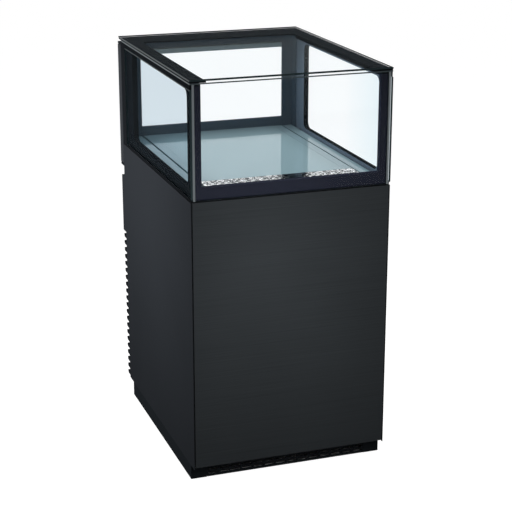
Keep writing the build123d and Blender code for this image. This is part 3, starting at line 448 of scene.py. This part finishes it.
# Screw heads of the louvred cover in place of the plain ones
HEAD_RADIUS, HEAD_HEIGHT = 4.5, 2.4
SCREW_ROWS = 4
BLADE_PITCH = 24.3
BLADES_PER_ROW = 6
heads = bmesh.new()
cover_lo, cover_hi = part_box("cover_screws")
head_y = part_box("louvre_cover")[0].y + 1.5 * MM
for head_x in (cover_lo.x + HEAD_RADIUS * MM, cover_hi.x - HEAD_RADIUS * MM):
    for row in range(SCREW_ROWS):
        head_z = cover_lo.z + (HEAD_RADIUS + row * BLADES_PER_ROW * BLADE_PITCH) * MM
        screw(heads, (head_x, head_y, head_z), HEAD_RADIUS, HEAD_HEIGHT, 0.4 * row + head_x)
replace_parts(piece("cover_screw_heads", heads, screw_metal, "cabinet"), "cover_screws")

# Screws at the corners of the control box and on the lower hinge
fixings = bmesh.new()
box_lo, box_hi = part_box("control_box")
for x in (box_lo.x + 22 * MM, box_hi.x - 22 * MM):
    for z in (box_lo.z + 20 * MM, box_hi.z - 24 * MM):
        screw(fixings, (x, box_hi.y, z), 3.8, 1.8, x * 9)
hinge_lo, hinge_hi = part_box("hinge_bottom")
for share in (0.35, 0.8):
    x = hinge_lo.x + share * (hinge_hi.x - hinge_lo.x)
    screw(fixings, (x, hinge_lo.y + 3 * MM, hinge_lo.z + 10 * MM), 3.2, 1.5, share)
piece("fixing_screws", fixings, screw_metal, "cabinet")

# Digits of the display and marks on the control fascia, in millimetres from the fascia's middle height
fascia_lo, fascia_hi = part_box("control_fascia")
fascia_y = fascia_hi.y
middle_z = (fascia_lo.z + fascia_hi.z) / 2 / MM
PRINT_RISE = 0.12
SEGMENTS = {"2": "abged", "5": "afgcd"}


def middle_x(name):
    """The middle of a node along x, in millimetres."""
    lo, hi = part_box(name)
    return (lo.x + hi.x) / 2 / MM


def bar(bm, left, right, low, high):
    """Add a printed rectangle."""
    prism(bm, [(left, low), (right, low), (right, high), (left, high)], fascia_y, PRINT_RISE)


def digit(bm, x, z, which):
    """Add one seven-segment digit, seen from behind the cabinet."""
    height, width, thick = 12.0, 6.0, 1.32
    side, up = width / 2, height / 2
    bars = {
        "a": (0, up, width, thick),
        "g": (0, 0, width, thick),
        "d": (0, -up, width, thick),
        "f": (side, up / 2, thick, up),
        "b": (-side, up / 2, thick, up),
        "e": (side, -up / 2, thick, up),
        "c": (-side, -up / 2, thick, up),
    }
    for key in SEGMENTS[which]:
        cx, cz, wide, tall = bars[key]
        if wide > tall:
            wide -= thick / 2
        else:
            tall -= thick / 2
        bar(bm, x + cx - wide / 2, x + cx + wide / 2, z + cz - tall / 2, z + cz + tall / 2)


DIGIT_OFFSET = 6.0
digits = bmesh.new()
for offset, which in ((DIGIT_OFFSET, "2"), (-DIGIT_OFFSET, "5")):
    digit(digits, middle_x("display_window") + offset, middle_z, which)
piece("display_digits", digits, digit_glow, "cabinet")

# Arrows over two buttons, a stroke and a ring at each rocker, and stars over the other two buttons
marks = bmesh.new()
mark_z = middle_z + 11.5
for name, way in (("button_up", 1), ("button_down", -1)):
    x = middle_x(name)
    arrow = [(x - 2.2, mark_z - 1.6 * way), (x + 2.2, mark_z - 1.6 * way), (x, mark_z + 2.0 * way)]
    prism(marks, arrow[::way], fascia_y, PRINT_RISE)
RING_STEPS, RING_OUTER, RING_INNER = 20, 2.6, 1.8
for name in ("rocker_light", "rocker_power"):
    x = middle_x(name)
    bar(marks, x - 0.5, x + 0.5, middle_z + 17, middle_z + 22)
    ring_z = middle_z - 19.5
    for k in range(RING_STEPS):
        a, b = 2 * math.pi * k / RING_STEPS, 2 * math.pi * (k + 1) / RING_STEPS
        arc = [(RING_OUTER, a), (RING_OUTER, b), (RING_INNER, b), (RING_INNER, a)]
        outline = [(x + r * math.cos(t), ring_z + r * math.sin(t)) for r, t in arc]
        prism(marks, outline, fascia_y, PRINT_RISE)
STROKE_LONG, STROKE_THIN = 2.3, 0.28
stroke = [
    (STROKE_LONG, STROKE_THIN),
    (STROKE_LONG, -STROKE_THIN),
    (-STROKE_LONG, -STROKE_THIN),
    (-STROKE_LONG, STROKE_THIN),
]
for name, strokes in (("button_set", 2), ("button_defrost", 3)):
    x = middle_x(name)
    for k in range(strokes):
        angle = math.pi * k / strokes
        dx, dz = math.cos(angle), math.sin(angle)
        outline = [(x + dx * u - dz * v, mark_z + dz * u + dx * v) for u, v in stroke]
        prism(marks, outline, fascia_y, PRINT_RISE + 0.02 * k)
piece("fascia_marks", marks, mark_white, "cabinet")


def seen_rays(g):
    """1 for rays that show a thing straight, by gloss or through glass, and 0 for light that it sheds."""
    path = g.add("LightPath").outputs
    seen = g.maths("MAXIMUM", path["Is Camera Ray"], path["Is Glossy Ray"])
    return g.maths("MAXIMUM", seen, path["Is Transmission Ray"])


# Pale floor that sheds little light, and shows white except under the cabinet
SHED = 0.12
FOOT_HALF_WIDTH, FOOT_HALF_DEPTH, FOOT_MIDDLE_Y = 0.297, 0.333, -0.045
g = new_graph("studio_floor")
seen = seen_rays(g)
spot = g.split(g.add("TexCoord").outputs["Object"])
beside = g.maths("GREATER_THAN", g.maths("ABSOLUTE", spot[X]), FOOT_HALF_WIDTH)
along = g.maths("ABSOLUTE", g.maths("ADD", spot[Y], -FOOT_MIDDLE_Y))
outside = g.maths("MAXIMUM", beside, g.maths("GREATER_THAN", along, FOOT_HALF_DEPTH))
tone = g.blend(seen, (SHED, SHED, SHED, 1.0), (0.8, 0.8, 0.8, 1.0))
paint = g.add("BsdfDiffuse", {"Color": tone}).outputs[0]
light = g.add("Emission", {"Color": (1.0, 1.0, 1.0, 1.0), "Strength": 1.3}).outputs[0]
share = g.maths("MULTIPLY", g.maths("MULTIPLY", seen, outside), 0.75)
floor_material = g.finish(g.shaders(share, paint, light))
plate = bmesh.new()
bmesh.ops.create_grid(plate, x_segments=1, y_segments=1, size=30)
floor = new_object("studio_floor", plate, floor_material)

# White backdrop that sheds as little light as the floor
g = Graph(bpy.data.worlds.new("studio"), "OutputWorld")
level = g.remap(seen_rays(g), 0.0, 1.0, SHED, 1.0)
backdrop = g.add("Background", {"Color": (1.0, 1.0, 1.0, 1.0), "Strength": level})
scene.world = g.finish(backdrop.outputs[0])


def softbox(name, spot, target, size, watts):
    """Add a rectangular light at spot, aimed at target, that is not seen itself."""
    lamp = bpy.data.lights.new(name, "AREA")
    lamp.shape = "RECTANGLE"
    lamp.size, lamp.size_y = size
    lamp.energy = watts
    obj = bpy.data.objects.new(name, lamp)
    obj.location = spot
    obj.rotation_mode = "QUATERNION"
    obj.rotation_quaternion = (Vector(spot) - Vector(target)).to_track_quat("Z", "Y")
    obj.visible_camera = False
    obj.visible_glossy = False
    scene.collection.objects.link(obj)


softbox("front_box", (-0.09, -0.98, 0.71), (-0.05, -0.415, 0.64), (0.2, 0.6), 2.8)
softbox("side_box", (-1.2, 0.12, 0.95), (-0.3, 0.1, 0.65), (0.6, 0.6), 11.5)
softbox("top_box", (0.0, 0.0, 2.9), (0, 0, 0.9), (1.6, 1.6), 45)
softbox("right_box", (1.25, 0.12, 0.95), (0.3, 0.1, 0.65), (0.6, 0.6), 9)
softbox("back_box", (0.1, 1.45, 0.85), (0.0, 0.4, 0.6), (0.7, 0.7), 13)

# Camera at the photograph's place, turned by yaw from +Y and by pitch below level
YAW, PITCH = math.radians(19.21), math.radians(17.90)
camera_data = bpy.data.cameras.new("camera")
camera_data.sensor_width = 36
camera_data.lens = 101.46
camera = bpy.data.objects.new("camera", camera_data)
scene.collection.objects.link(camera)
camera.location = (-1.389, -4.086, 1.940)
aim = Vector((math.sin(YAW) * math.cos(PITCH), math.cos(YAW) * math.cos(PITCH), -math.sin(PITCH)))
camera.rotation_mode = "QUATERNION"
camera.rotation_quaternion = (-aim).to_track_quat("Z", "Y")
scene.camera = camera

scene.view_settings.view_transform = "Standard"
scene.cycles.transparent_max_bounces = 32
